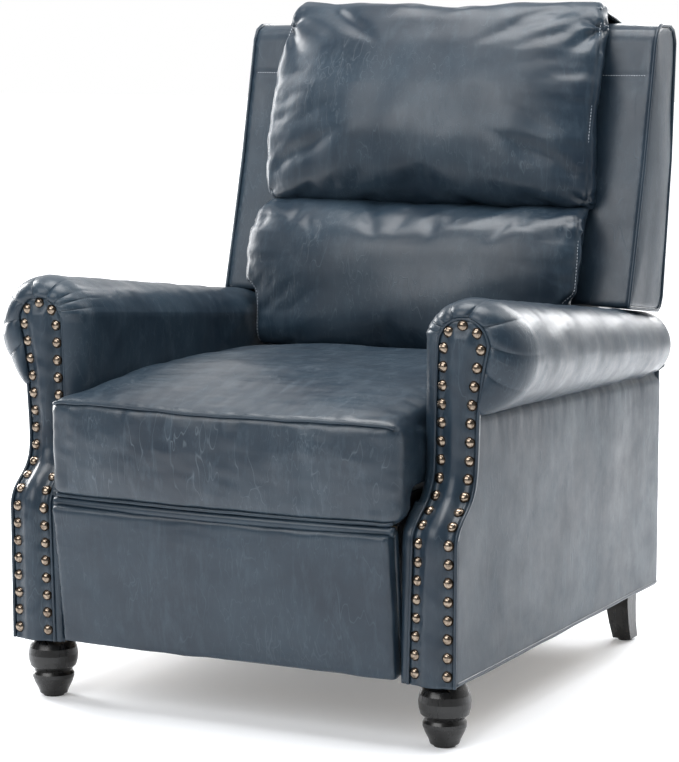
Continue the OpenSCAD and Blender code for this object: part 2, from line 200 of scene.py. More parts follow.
def outward(obj):
    """Turns every face of a closed mesh outwards."""
    bm = bmesh.new()
    bm.from_mesh(obj.data)
    bmesh.ops.recalc_face_normals(bm, faces=bm.faces)
    bm.to_mesh(obj.data)
    bm.free()
    obj.data.update()


def tube(name, path, radius, body, closed=False, segments=10):
    """A welt or another round roll of leather along a path of 3-D points."""
    path = np.asarray(path, float)
    count = len(path)
    if closed:
        tangent = np.roll(path, -1, axis=0) - np.roll(path, 1, axis=0)
    else:
        tangent = np.gradient(path, axis=0)
    tangent /= np.linalg.norm(tangent, axis=1)[:, None]
    normal = np.cross(tangent[0], [0.31, 0.52, 0.79])
    verts = []
    for k in range(count):
        normal = normal - tangent[k] * np.dot(normal, tangent[k])
        normal /= np.linalg.norm(normal)
        verts += circle(path[k], normal, np.cross(tangent[k], normal), radius, segments)
    faces = grid_faces(count, segments, wrap_rows=closed, wrap_cols=True)
    if not closed:
        ring_cap(faces, verts, list(range(segments)))
        ring_cap(faces, verts, list(range((count - 1) * segments, count * segments)), flip=True)
    obj = make_object(name, verts, faces, WELT, body)
    outward(obj)
    return obj


def slab_mesh(outline, thickness, edge, bulge, step, rows=1, both=False):
    """A padded panel over a flat outline: local points (a, b, height) and faces.

    Its rim is rounded by edge, on both faces where both is set, and its top rises by bulge
    towards the middle. The rim has this many rows between its rounded parts.
    """
    outline = resample(outline, step, closed=True)
    normals = outline_normals(outline)
    count = len(outline)
    middle = outline.mean(axis=0)
    turns = 6
    angles = [0.5 * math.pi * k / turns for k in range(turns + 1)]
    quarter = [(edge * (1.0 - math.cos(angle)), edge * (1.0 - math.sin(angle))) for angle in angles]
    low = edge if both else 0.0
    rings = []
    if both:
        rings += [(inset, height) for inset, height in quarter[:0:-1]]
    rings += [(0.0, low + (thickness - edge - low) * k / rows) for k in range(rows)]
    rings += [(inset, thickness - height) for inset, height in quarter]
    rings = [(outline - inset * normals, height) for inset, height in rings]
    inner = rings[-1][0]
    fill = 14
    for k in range(1, fill):
        scale = 1.0 - k / fill
        rings.append((middle + (inner - middle) * scale, thickness + bulge * (1.0 - scale ** 2.5)))
    verts = [np.array([p[0], p[1], h]) for ring, h in rings for p in ring]
    faces = grid_faces(len(rings), count, wrap_cols=True)
    ring_cap(faces, verts, list(range((len(rings) - 1) * count, len(rings) * count)), flip=True)
    verts[-1][2] = thickness + bulge
    ring_cap(faces, verts, list(range(count)))
    return np.array(verts), faces


def displace(obj, amounts):
    """Moves each vertex along its own normal."""
    mesh = obj.data
    count = len(mesh.vertices)
    normals = np.empty(count * 3)
    mesh.vertex_normals.foreach_get("vector", normals)
    points = np.empty(count * 3)
    mesh.vertices.foreach_get("co", points)
    points += (normals.reshape(-1, 3) * np.asarray(amounts)[:, None]).ravel()
    mesh.vertices.foreach_set("co", points)
    mesh.update()


def coordinates(obj):
    points = np.empty(len(obj.data.vertices) * 3)
    obj.data.vertices.foreach_get("co", points)
    return points.reshape(-1, 3)


def set_coordinates(obj, points):
    obj.data.vertices.foreach_set("co", np.asarray(points).ravel())
    obj.data.update()


def bake(obj):
    """Applies every modifier of an object to its mesh."""
    graph = bpy.context.evaluated_depsgraph_get()
    mesh = bpy.data.meshes.new_from_object(obj.evaluated_get(graph))
    old = obj.data
    obj.modifiers.clear()
    obj.data = mesh
    bpy.data.meshes.remove(old)
    shade_smooth(mesh)


def subdivide(obj):
    modifier = obj.modifiers.new("subdivision", "SUBSURF")
    modifier.levels = 1
    modifier.render_levels = 1
    bake(obj)


def remesh(obj, size):
    modifier = obj.modifiers.new("remesh", "REMESH")
    modifier.mode = "VOXEL"
    modifier.voxel_size = size
    bake(obj)


def relax(obj, rounds):
    """Irons out the smallest wrinkles."""
    modifier = obj.modifiers.new("smooth", "SMOOTH")
    modifier.factor = 0.5
    modifier.iterations = rounds
    bake(obj)


def add_skin(obj, offset):
    """Gives a leather sheet its thickness, outside its surface at offset 1 and inside it at offset -1."""
    skin = obj.modifiers.new("skin", "SOLIDIFY")
    skin.thickness = 0.003
    skin.offset = offset


# ---------- materials ----------

class Nodes:
    """A short way to write a procedural material."""

    def __init__(self, name):
        self.material = bpy.data.materials.new(name)
        self.material.use_nodes = True
        self.tree = self.material.node_tree
        self.tree.nodes.clear()
        self.output = self.add("ShaderNodeOutputMaterial")
        self.shader = self.add("ShaderNodeBsdfPrincipled")
        self.link(self.shader.outputs[0], self.output.inputs["Surface"])

    def add(self, kind, **values):
        node = self.tree.nodes.new(kind)
        for key, value in values.items():
            if key in node.inputs:
                node.inputs[key].default_value = value
            else:
                setattr(node, key, value)
        return node

    def link(self, source, target):
        self.tree.links.new(source, target)

    def scaled(self, scale=(1.0, 1.0, 1.0), rotation=(0.0, 0.0, 0.0)):
        coord = self.add("ShaderNodeTexCoord")
        mapping = self.add("ShaderNodeMapping")
        mapping.inputs["Scale"].default_value = scale
        mapping.inputs["Rotation"].default_value = rotation
        self.link(coord.outputs["Object"], mapping.inputs["Vector"])
        return mapping.outputs[0]

    def noise(self, vector, scale, detail=3.0, rough=0.5, distortion=0.0):
        node = self.add("ShaderNodeTexNoise", Scale=scale, Detail=detail, Roughness=rough,
                        Distortion=distortion)
        self.link(vector, node.inputs["Vector"])
        return node.outputs["Fac"]

    def math(self, operation, a, b=None, clamp=False):
        node = self.add("ShaderNodeMath", operation=operation)
        node.use_clamp = clamp
        for socket, value in zip(node.inputs, (a, b)):
            if value is None:
                continue
            if isinstance(value, (int, float)):
                socket.default_value = value
            else:
                self.link(value, socket)
        return node.outputs[0]

    def range(self, value, low, high, to_low=0.0, to_high=1.0):
        node = self.add("ShaderNodeMapRange", **{
            "From Min": low, "From Max": high, "To Min": to_low, "To Max": to_high})
        self.link(value, node.inputs["Value"])
        return node.outputs[0]

    def blend(self, factor, a, b):
        """Mixes two colours, each of them a socket or (red, green, blue)."""
        node = self.add("ShaderNodeMix", data_type="RGBA")
        self.link(factor, node.inputs[0])
        for socket, value in ((node.inputs[6], a), (node.inputs[7], b)):
            if isinstance(value, tuple):
                socket.default_value = (*value, 1.0)
            else:
                self.link(value, socket)
        return node.outputs[2]

    def bump(self, height, strength, distance, under=None):
        node = self.add("ShaderNodeBump", Strength=strength, Distance=distance)
        self.link(height, node.inputs["Height"])
        if under is not None:
            self.link(under, node.inputs["Normal"])
        return node.outputs[0]

    def wisps(self, vector, scale, width, distortion):
        """Thin crease lines: the places where a noise crosses its middle value."""
        value = self.noise(vector, scale, detail=2.0, rough=0.55, distortion=distortion)
        return self.range(self.math("ABSOLUTE", self.math("SUBTRACT", value, 0.5)), 0.0, width, 1.0, 0.0)


def leather(name, stretch=(1.0, 1.0, 0.22), tilt=(0.0, 0.0, 0.0), wear=1.0, ior=1.40):
    """Glossy slate-blue bonded leather: fine grain, crease wisps that run along stretch, cloudy tone."""
    n = Nodes(name)
    plain = n.scaled()
    along = n.scaled(stretch, tilt)
    cloud = n.noise(plain, 6.0, detail=5.0, rough=0.62)
    patches = n.range(n.noise(plain, 9.0, detail=4.0, rough=0.65), 0.46, 0.60)
    creases = n.math("MULTIPLY", n.wisps(along, 30.0, 0.007, 0.25), patches)
    hairs = n.math("MULTIPLY", n.wisps(along, 75.0, 0.016, 0.2), n.range(cloud, 0.46, 0.60))
    streaks = n.range(n.noise(along, 48.0, detail=6.0, rough=0.75, distortion=0.3), 0.50, 0.80)
    marks = n.math("MAXIMUM", creases, n.math("MULTIPLY", hairs, 0.7), clamp=True)
    grain = n.add("ShaderNodeTexVoronoi", Scale=620.0)
    n.link(plain, grain.inputs["Vector"])
    fine = n.noise(plain, 900.0, detail=2.0)
    tone = n.blend(n.range(cloud, 0.32, 0.68), (0.009, 0.018, 0.030), (0.020, 0.036, 0.053))
    tone = n.blend(n.math("MULTIPLY", streaks, 0.60 * wear), tone, (0.042, 0.063, 0.084))
    colour = n.blend(n.math("MULTIPLY", marks, 0.20 * wear), tone, (0.13, 0.165, 0.195))
    n.link(colour, n.shader.inputs["Base Color"])
    rough = n.range(n.noise(plain, 22.0, detail=5.0, rough=0.65), 0.3, 0.7, 0.29, 0.43)
    n.link(n.math("ADD", rough, n.math("MULTIPLY", marks, 0.12)), n.shader.inputs["Roughness"])
    soft = n.noise(plain, 14.0, detail=3.0, rough=0.55, distortion=0.6)
    low = n.bump(soft, 0.10, 0.005)
    mid = n.bump(marks, 0.25 * wear, 0.0006, low)
    top = n.bump(n.math("ADD", grain.outputs["Distance"], n.math("MULTIPLY", fine, 0.5)), 0.12, 0.0004, mid)
    n.link(top, n.shader.inputs["Normal"])
    n.shader.inputs["IOR"].default_value = ior
    n.shader.inputs["Coat Weight"].default_value = 0.10
    n.shader.inputs["Coat Roughness"].default_value = 0.26
    return n.material


def thread():
    n = Nodes("sewing_thread")
    plain = n.scaled()
    twist = n.noise(plain, 1400.0)
    n.link(n.blend(twist, (0.22, 0.25, 0.29), (0.46, 0.50, 0.55)), n.shader.inputs["Base Color"])
    n.shader.inputs["Roughness"].default_value = 0.7
    n.link(n.bump(twist, 0.3, 0.0003), n.shader.inputs["Normal"])
    return n.material


def lacquer():
    n = Nodes("black_lacquer")
    plain = n.scaled((1.0, 1.0, 0.15))
    grain = n.noise(plain, 160.0, detail=3.0)
    n.link(n.blend(n.range(grain, 0.3, 0.7), (0.002, 0.002, 0.0022), (0.005, 0.0048, 0.0048)),
           n.shader.inputs["Base Color"])
    n.link(n.range(grain, 0.3, 0.7, 0.24, 0.34), n.shader.inputs["Roughness"])
    n.link(n.bump(grain, 0.10, 0.0004), n.shader.inputs["Normal"])
    return n.material


def metal(name, dark, light, roughness, metallic=1.0, scale=90.0):
    n = Nodes(name)
    plain = n.scaled()
    tone = n.noise(plain, scale, detail=4.0, rough=0.6)
    n.link(n.blend(n.range(tone, 0.35, 0.65), dark, light), n.shader.inputs["Base Color"])
    n.link(n.range(tone, 0.3, 0.7, roughness - 0.06, roughness + 0.08), n.shader.inputs["Roughness"])
    n.shader.inputs["Metallic"].default_value = metallic
    n.link(n.bump(n.noise(plain, 700.0), 0.05, 0.0003), n.shader.inputs["Normal"])
    return n.material


def raw_wood():
    n = Nodes("timber")
    along = n.scaled((6.0, 0.6, 6.0))
    rings = n.add("ShaderNodeTexWave", Scale=4.0, Distortion=6.0, Detail=3.0)
    n.link(along, rings.inputs["Vector"])
    n.link(n.blend(rings.outputs["Fac"], (0.32, 0.25, 0.18), (0.47, 0.39, 0.30)),
           n.shader.inputs["Base Color"])
    n.shader.inputs["Roughness"].default_value = 0.62
    n.link(n.bump(rings.outputs["Fac"], 0.15, 0.0005), n.shader.inputs["Normal"])
    return n.material


LEATHER = leather("leather_upright")
LEATHER_ROLL = leather("leather_roll", stretch=(0.5, 1.0, 0.35), tilt=(0.5, 0.3, 0.0), wear=1.2)
LEATHER_SEAT = leather("leather_seat", stretch=(1.0, 0.35, 0.30), tilt=(0.0, 0.0, 0.35), wear=1.7, ior=1.48)
LEATHER_SIDE = leather("leather_side", wear=0.8, ior=1.31)
WELT = leather("leather_welt", wear=0.2)
LACQUER = lacquer()
BRONZE = metal("antique_bronze", (0.12, 0.090, 0.068), (0.34, 0.275, 0.215), 0.20, scale=220.0)
# painted shade: near-black metal for the ring at each nail's foot, where the dome meets the leather
NAIL_FOOT_SHADE = metal("bronze_edge", (0.02, 0.015, 0.01), (0.05, 0.035, 0.025), 0.45)
BLACK_STEEL = metal("black_steel", (0.02, 0.02, 0.022), (0.035, 0.035, 0.038), 0.42, metallic=0.2)
ZINC = metal("zinc_steel", (0.48, 0.48, 0.50), (0.64, 0.64, 0.66), 0.32)
TIMBER = raw_wood()
THREAD = thread()
THREAD_RADIUS = 0.00055

# ---------- the arm's front curve ----------

# side view of an arm's front: distance behind the front plane against height, in millimetres
ARM_FRONT = [(0, 91), (0, 286), (3, 297), (12, 309), (26, 320), (38, 329),
             (47, 340), (53, 353), (56, 370), (56.5, 395), (55, 440), (54, 620)]
# the facing's inner and outer edges seen from the front: X against height
FACING_INNER = [(279, 91), (284, 290), (290, 370), (292, 450), (294, 520), (295, 541)]
FACING_OUTER = [(345, 91), (346, 290), (349, 370), (352, 450), (359, 505), (367, 541)]
HEAD_CENTRE_MM = (331.0, 541.0)
HEAD_RADIUS_MM = 36.0


def curve_value(points, z_mm):
    """Reads a given curve of (value, height) pairs, softened over a few millimetres."""
    values = np.array([p[0] for p in points], float)
    heights = np.array([p[1] for p in points], float)
    z_mm = np.asarray(z_mm, float)
    return np.mean([np.interp(z_mm + d, heights, values) for d in (-6.0, -3.0, 0.0, 3.0, 6.0)], axis=0)


def arm_front_y(z):
    return behind(0) + MM * curve_value(ARM_FRONT, np.asarray(z) / MM)


def arm_front_path(step=0.004):
    """Heights at equal steps along the S-curve, from the base to the top of the facing's head."""
    top = (HEAD_CENTRE_MM[1] + HEAD_RADIUS_MM) * MM
    z = np.linspace(BASE_Z, top, 1500)
    y = arm_front_y(z)
    along = np.concatenate([[0.0], np.cumsum(np.hypot(np.diff(z), np.diff(y)))])
    count = int(along[-1] / step)
    return np.interp(np.linspace(0.0, along[-1], count), along, z)


def facing_edges(z):
    """Inner and outer X of the facing at height z; the head closes as a circle."""
    z_mm = np.asarray(z) / MM
    inner = curve_value(FACING_INNER, z_mm)
    outer = curve_value(FACING_OUTER, z_mm)
    rise = np.clip((z_mm - HEAD_CENTRE_MM[1]) / HEAD_RADIUS_MM, 0.0, 1.0)
    reach = HEAD_RADIUS_MM * np.sqrt(1.0 - rise ** 2)
    above = z_mm > HEAD_CENTRE_MM[1]
    inner = np.where(above, HEAD_CENTRE_MM[0] - reach, inner)
    outer = np.where(above, HEAD_CENTRE_MM[0] + reach, outer)
    return inner * MM, outer * MM


def arm_front_normal(z):
    """Outward (y, z) normal of the S-curve."""
    slope = (arm_front_y(z + 0.003) - arm_front_y(z - 0.003)) / 0.006
    length = np.sqrt(1.0 + slope ** 2)
    return -1.0 / length, slope / length


NAIL_RADIUS = 0.0070
NAIL_INSET = 0.0095
NAIL_PITCH = 0.0247
NAIL_HEIGHT = 0.0046
# the near-black ring at a nail's foot, painted shade where the dome meets the leather: radius as a share of
# the nail's, and height
NAIL_SHADE_RING = ((1.0, -0.0030), (1.14, -0.0012), (1.12, 0.0003), (0.97, 0.0008))
FACING_SEED = 11


def nail_places():
    """(x, z) of each nail of a facing: two rows up the neck, joined round the head."""
    z = arm_front_path(0.001)
    z = z[(z > BASE_Z + 0.016) & (z < (HEAD_CENTRE_MM[1] - 4) * MM)]
    inner, outer = facing_edges(z)
    places = []
    for edge, sign in ((inner, 1.0), (outer, -1.0)):
        path = resample(np.column_stack([edge + sign * NAIL_INSET, z, arm_front_y(z)]), NAIL_PITCH)
        places += [(p[0], p[1]) for p in path]
    x, top = (value * MM for value in HEAD_CENTRE_MM)
    reach = HEAD_RADIUS_MM * MM - NAIL_INSET
    for turn in np.radians((41.0, 90.0, 139.0)):
        places.append((x + reach * math.cos(turn), top + reach * math.sin(turn)))
    return places


NAILS = nail_places()


def facing_height(x, z, seed):
    """How far the padded facing stands off its board: puffed middle, pinched at the nails."""
    inner, outer = facing_edges(z)
    edge = np.minimum(x - inner, outer - x)
    edge = np.minimum(edge, (HEAD_CENTRE_MM[1] + HEAD_RADIUS_MM) * MM - z)
    rim = 0.0040 * smoothstep(0.0, 0.006, edge)
    puff = 0.0060 * smoothstep(0.010, 0.028, edge)
    pinch = np.zeros(len(x))
    for nx, nz in NAILS:
        away = np.hypot(x - nx, (z - nz) * 0.8)
        pinch += 0.0022 * np.exp(-(away / 0.0085) ** 2)
    points = np.column_stack([x, z, z * 0.0])
    return rim + puff - pinch + 0.0005 * waves(points, 0.05, seed)


def grid_border(rows, columns):
    """Indices round the border of a grid of points, in order."""
    border = [i * columns for i in range(rows)]
    border += [(rows - 1) * columns + j for j in range(1, columns)]
    border += [i * columns + columns - 1 for i in range(rows - 2, -1, -1)]
    return border + list(range(columns - 2, 0, -1))


def build_facing(side):
    """The padded strip on an arm's front, with a welt round its edge."""
    sign = SIDES[side]
    heights = arm_front_path(0.0032)
    heights[-1] -= 0.0004
    rows, columns = len(heights), 40
    inner, outer = facing_edges(heights)
    share = 0.5 - 0.5 * np.cos(np.linspace(0.0, math.pi, columns))
    share = 0.5 * share + 0.5 * np.linspace(0.0, 1.0, columns)
    x = inner[:, None] + (outer - inner)[:, None] * share[None, :]
    z = np.repeat(heights[:, None], columns, axis=1)
    lift = facing_height(x.ravel(), z.ravel(), seed_on(side, FACING_SEED)).reshape(x.shape)
    ny, nz = arm_front_normal(z)
    y = arm_front_y(z)
    front = np.stack([sign * x, y + ny * lift, z + nz * lift], axis=-1)
    back = np.stack([sign * x, y + 0.010, z], axis=-1)
    verts = list(front.reshape(-1, 3)) + list(back.reshape(-1, 3))
    offset = rows * columns
    faces = grid_faces(rows, columns) + grid_faces(rows, columns, start=offset, flip=True)
    border = grid_border(rows, columns)
    faces += [(a, b, b + offset, a + offset) for a, b in zip(border, border[1:] + border[:1])]
    facing = make_object(f"facing_{side}", verts, faces, LEATHER, "base")
    outward(facing)
    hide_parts(f"arm_facing_{side}")
    inner_edge = np.column_stack([inner - 0.001, heights])
    outer_edge = np.column_stack([outer + 0.001, heights])
    edge = resample(np.vstack([inner_edge, outer_edge[::-1]]), 0.004)
    path = np.column_stack([sign * edge[:, 0], arm_front_y(edge[:, 1]) - 0.0012, edge[:, 1]])
    tube(f"facing_welt_{side}", path, 0.0024, "base")


def build_nails(side):
    """Domed nail heads, each square on the padded facing, with a near-black ring at its foot as painted shade
    where the dome meets the leather.
    """
    verts, faces, shade_verts, shade_faces = [], [], [], []
    around, up = 20, 6
    across = Vector((1.0, 0.0, 0.0))
    for x, z in NAILS:
        lift = facing_height(np.array([x]), np.array([z]), seed_on(side, FACING_SEED))[0]
        ny, nz = arm_front_normal(z)
        normal = Vector((0.0, float(ny), float(nz)))
        foot = Vector((SIDES[side] * x, float(arm_front_y(z)), z)) + normal * (lift + 0.0009)
        along = normal.cross(across)
        start = len(verts)
        for angle in (0.5 * math.pi * k / up for k in range(up)):
            middle = foot + NAIL_HEIGHT * math.sin(angle) * normal
            verts += circle(middle, across, along, NAIL_RADIUS * math.cos(angle), around)
        faces += grid_faces(up, around, wrap_cols=True, start=start)
        verts.append(foot + NAIL_HEIGHT * normal)
        top = start + (up - 1) * around
        faces += [(top + s, top + (s + 1) % around, len(verts) - 1) for s in range(around)]
        # painted shade: a dark ring round the nail's foot, in the crevice with the leather
        start = len(shade_verts)
        for share, height in NAIL_SHADE_RING:
            shade_verts += circle(foot + height * normal, across, along, share * NAIL_RADIUS, around)
        shade_faces += grid_faces(len(NAIL_SHADE_RING), around, wrap_cols=True, start=start)
    nails = make_object(f"nails_{side}", verts, faces, BRONZE, "base")
    shade_rings = make_object(f"nail_rims_{side}", shade_verts, shade_faces, NAIL_FOOT_SHADE, "base")
    outward(nails)
    outward(shade_rings)
    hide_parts(f"facing_nails_{side}")


# ---------- arm rolls ----------

ROLL_FRONT_CENTRE = (0.337, 0.526)
ROLL_FRONT_RADIUS = 0.0785
ROLL_REAR_CENTRE = (0.318, 0.470)
ROLL_REAR_RADIUS = 0.050
ROLL_FRONT_Y = behind(62)
ROLL_REAR_Y = behind(764)
ARM_WALL_FOOT = 0.300
ARM_WALL_X = ARM_X - 0.002
UNDERSIDE_ANGLE = -86.0
INNER_ANGLE = 158.0
WALL_POINTS = 34
ROLL_POINTS = 230
CAP_ROWS = 26
BODY_ROWS = 60
END_ROWS = 11
END_DEPTH = 0.016
# below this angle the pleats run to the facing's outer edge, down to this height
OUTER_RUN_ANGLE = -12.0
OUTER_RUN_FOOT = 0.452


def roll_at(y):
    """Centre (x, z) and radius of the arm roll at depth y."""
    t = (y - ROLL_FRONT_Y) / (ROLL_REAR_Y - ROLL_FRONT_Y)
    centre = tuple(mix(front, rear, t) for front, rear in zip(ROLL_FRONT_CENTRE, ROLL_REAR_CENTRE))
    return centre, mix(ROLL_FRONT_RADIUS, ROLL_REAR_RADIUS, t)


def roll_section(y):
    """(x, z) points of an arm's skin at depth y, from inside the arm over the roll to its underside."""
    centre, radius = roll_at(y)
    angles = np.radians(np.linspace(INNER_ANGLE, UNDERSIDE_ANGLE, ROLL_POINTS))
    round_part = np.column_stack([centre[0] + radius * np.cos(angles), centre[1] + radius * np.sin(angles)])
    join = round_part[0]
    t = np.linspace(0.0, 1.0, WALL_POINTS, endpoint=False)
    height = ARM_WALL_FOOT + (join[1] - ARM_WALL_FOOT) * t
    across = ARM_WALL_X + (join[0] - ARM_WALL_X) * smoothstep(0.55, 1.15, t) / smoothstep(0.55, 1.15, 1.0)
    return np.vstack([np.column_stack([across, height]), round_part])


def roll_sections(y):
    """roll_section for a column of depths, one for each of its points."""
    near = roll_section(ROLL_FRONT_Y)
    far = roll_section(ROLL_REAR_Y)
    t = ((y - ROLL_FRONT_Y) / (ROLL_REAR_Y - ROLL_FRONT_Y))[:, None]
    return near + (far - near) * t


def facing_edge_for_section():
    """For each point of the front section, the point of the facing's edge that the pleats run to."""
    heights = roll_section(ROLL_FRONT_Y)[:WALL_POINTS, 1]
    points = list(zip(facing_edges(heights)[0], heights))
    centre = np.array(HEAD_CENTRE_MM) * MM
    radius = HEAD_RADIUS_MM * MM
    start = centre[1] + radius * math.sin(math.radians(OUTER_RUN_ANGLE))
    for angle in np.linspace(INNER_ANGLE, UNDERSIDE_ANGLE, ROLL_POINTS):
        if angle > OUTER_RUN_ANGLE:
            turn = math.radians(angle)
            points.append((centre[0] + radius * math.cos(turn), centre[1] + radius * math.sin(turn)))
        else:
            share = (OUTER_RUN_ANGLE - angle) / (OUTER_RUN_ANGLE - UNDERSIDE_ANGLE)
            z = mix(start, OUTER_RUN_FOOT, share)
            points.append((float(facing_edges(z)[1]), z))
    return np.array(points)


PLEAT_ANGLES = (152.0, 141.0, 131.0, 112.0, 80.0, 43.0, 4.0, -34.0)


def pleat_height(angle):
    """Puffs between the pleats of the roll's front, with a tight valley at each pleat."""
    stops = [175.0] + list(PLEAT_ANGLES) + [-95.0]
    height = np.zeros(len(angle))
    for upper, lower in zip(stops[:-1], stops[1:]):
        inside = (angle <= upper) & (angle > lower)
        q = (upper - angle[inside]) / (upper - lower)
        size = min(1.0, 0.35 + (upper - lower) / 40.0)
        height[inside] = size * np.sqrt(np.clip(1.0 - (2.0 * q - 1.0) ** 2, 0, 1))
    return height


def cap_rings(inner, face_y, span, depth, pleats, on_roll):
    """Rings from the facing's edge out to the roll's full size, puffed between the pleats."""
    front = roll_sections(face_y + depth)
    out = (front - inner) / (span[:, None] + 1e-9)
    rings = []
    for w in np.arange(CAP_ROWS) / CAP_ROWS:
        fall = 1.0 - math.cos(0.5 * math.pi * w)
        fold = 0.0052 * pleats * smoothstep(0.0, 0.10, w) * (1.0 - 0.78 * smoothstep(0.45, 1.0, w))
        place = inner + (front - inner) * math.sin(0.5 * math.pi * w) + out * (fold * fall)[:, None]
        y = face_y + depth * fall - fold * (1.0 - fall) - 0.002 * on_roll * math.sin(math.pi * w)
        rings.append(np.column_stack([place[:, 0], y, place[:, 1]]))
    return rings


def body_rings(start_y, pleats):
    """Rings along the roll, from its front shoulder to its rear."""
    rings = []
    for k in range(BODY_ROWS):
        t = (k / (BODY_ROWS - 1)) ** 1.15
        y = start_y + (ROLL_REAR_Y - END_DEPTH - start_y) * t
        section = roll_sections(y)
        direction = section - roll_at(float(np.mean(y)))[0]
        direction /= np.linalg.norm(direction, axis=1)[:, None]
        section += direction * (0.00114 * pleats * (1.0 - smoothstep(0.0, 0.08, t)))[:, None]
        rings.append(np.column_stack([section[:, 0], y, section[:, 1]]))
    return rings


def end_rings(count):
    """Rings that close the roll's rear end, towards a point near its centre."""
    rear = roll_sections(np.full(count, ROLL_REAR_Y))
    hub = np.array(ROLL_REAR_CENTRE) + (0.004, -0.004)
    rings = []
    for k in range(1, END_ROWS + 1):
        w = k / END_ROWS
        shrink = 1.0 - math.cos(0.5 * math.pi * w)
        place = rear + (hub - rear) * (0.30 * shrink + 0.70 * w ** 3)
        y = ROLL_REAR_Y - END_DEPTH * (1.0 - math.sin(0.5 * math.pi * min(1.0, 1.6 * w)))
        rings.append(np.column_stack([place[:, 0], np.full(count, y), place[:, 1]]))
    return rings


def turn_outwards(roll, sign):
    """Turns the faces of an arm's open skin so that those at the chair's side face away from it."""
    bm = bmesh.new()
    bm.from_mesh(roll.data)
    bmesh.ops.recalc_face_normals(bm, faces=bm.faces)
    at_side = [face for face in bm.faces if face.calc_center_median().x * sign > 0.36]
    if sum(face.calc_center_median().x * face.normal.x * sign for face in at_side) < 0.0:
        bmesh.ops.reverse_faces(bm, faces=bm.faces)
    bm.to_mesh(roll.data)
    bm.free()


def build_arm_roll(side):
    """The leather over an arm: pleated front, roll and inner wall in one skin."""
    sign = SIDES[side]
    inner = facing_edge_for_section()
    count = len(inner)
    round_part = np.linspace(INNER_ANGLE, UNDERSIDE_ANGLE, ROLL_POINTS)
    angle = np.concatenate([np.full(WALL_POINTS, 178.0), round_part])
    on_roll = np.concatenate([np.zeros(WALL_POINTS), np.ones(ROLL_POINTS)])
    on_roll *= smoothstep(168.0, 150.0, angle) * smoothstep(UNDERSIDE_ANGLE, UNDERSIDE_ANGLE + 14.0, angle)
    pleats = pleat_height(angle) * on_roll
    face_y = arm_front_y(inner[:, 1])
    span = np.linalg.norm(roll_section(ROLL_FRONT_Y) - inner, axis=1)
    depth = np.clip(1.25 * span, 0.010, 0.056)
    rings = cap_rings(inner, face_y, span, depth, pleats, on_roll)
    rings += body_rings(face_y + depth, pleats) + end_rings(count)
    points = np.vstack(rings)
    ripple = 0.0007 * waves(points, 0.09, seed_on(side, 21))
    crease = 0.0002 * waves(points * (1.0, 3.2, 1.0), 0.10, seed_on(side, 23), octaves=2)
    y = points[:, 1]
    on_body = smoothstep(0.0, 0.05, y - behind(100)) * smoothstep(0.0, 0.03, ROLL_REAR_Y - y)
    points[:, 0] *= sign
    faces = grid_faces(len(rings), count)
    for start in range((len(rings) - END_ROWS) * count, (len(rings) - 1) * count, count):
        faces.append((start, start + count - 1, start + 2 * count - 1, start + count))
    roll = make_object(f"arm_roll_soft_{side}", points, faces, LEATHER_ROLL, "base")
    turn_outwards(roll, sign)
    displace(roll, (ripple + crease) * on_body)
    add_skin(roll, -1.0)
    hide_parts(f"arm_roll_{side}", f"arm_pad_{side}")


def build_inner_strip(side):
    """The leather that turns from the facing's inner edge on to the arm's inner board, below the arm pad."""
    sign = SIDES[side]
    heights = np.linspace(BASE_Z, ARM_WALL_FOOT + 0.030, 60)
    inner, _ = facing_edges(heights)
    turns = 12
    verts = []
    for z, x in zip(heights, inner):
        face = float(arm_front_y(z))
        for k in range(turns + 1):
            angle = 0.5 * math.pi * k / turns
            puff = 0.0030 * math.sin(2.0 * angle)
            across = mix(x, ARM_WALL_X, math.sin(angle)) - puff
            verts.append((sign * across, face + 0.016 * (1.0 - math.cos(angle)) - puff, z))
        verts.append((sign * ARM_WALL_X, face + 0.200, z))
    faces = grid_faces(len(heights), turns + 2)
    add_skin(make_object(f"inner_strip_{side}", verts, faces, LEATHER, "base"), sign)


# ---------- flat leather panels ----------

COVER_THICKNESS = 0.006


def side_panel_outline():
    """(y, z) outline of the arm's outer panel, up to where it goes under the roll."""
    z = np.linspace(BASE_Z, 0.462, 90)
    front = np.column_stack([arm_front_y(z) + 0.0045, z])
    return np.vstack([front, [[REAR, 0.432], [REAR, BASE_Z]]])


def build_side_panel(side):
    """An arm's outer panel, gathered where it goes under the roll, with a hem at its foot."""
    sign = SIDES[side]
    verts, faces = slab_mesh(side_panel_outline(), BASE_X - cover_low[0], 0.004, 0.0035, 0.006)
    world = np.column_stack([sign * (cover_low[0] + verts[:, 2]), verts[:, 0], verts[:, 1]])
    panel = make_object(f"side_panel_{side}", world, faces, LEATHER_SIDE, "base")
    remesh(panel, 0.004)
    world = coordinates(panel)
    centre, radius = roll_at(world[:, 1])
    below = np.clip(centre[1] - radius + 0.004 - world[:, 2], 0.0, 1.0)
    pulls = 0.0006 * waves(world * (1.0, 1.0, 0.16), 0.030, seed_on(side, 31)) * np.exp(-below / 0.030)
    drape = 0.0007 * waves(world * (1.0, 1.0, 0.35), 0.16, seed_on(side, 33), octaves=2)
    tuck = -0.0045 * np.exp(-(below / 0.007) ** 2)
    face = smoothstep(BASE_X - 0.003, BASE_X, np.abs(world[:, 0]))
    displace(panel, (pulls + drape + tuck) * face)
    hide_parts(f"side_cover_{side}")
    places = np.linspace(FRONT + 0.004, REAR - 0.004, 80)
    tube(f"side_hem_{side}", [(sign * (BASE_X - 0.0005), y, BASE_Z + 0.0035) for y in places], 0.0024, "base")


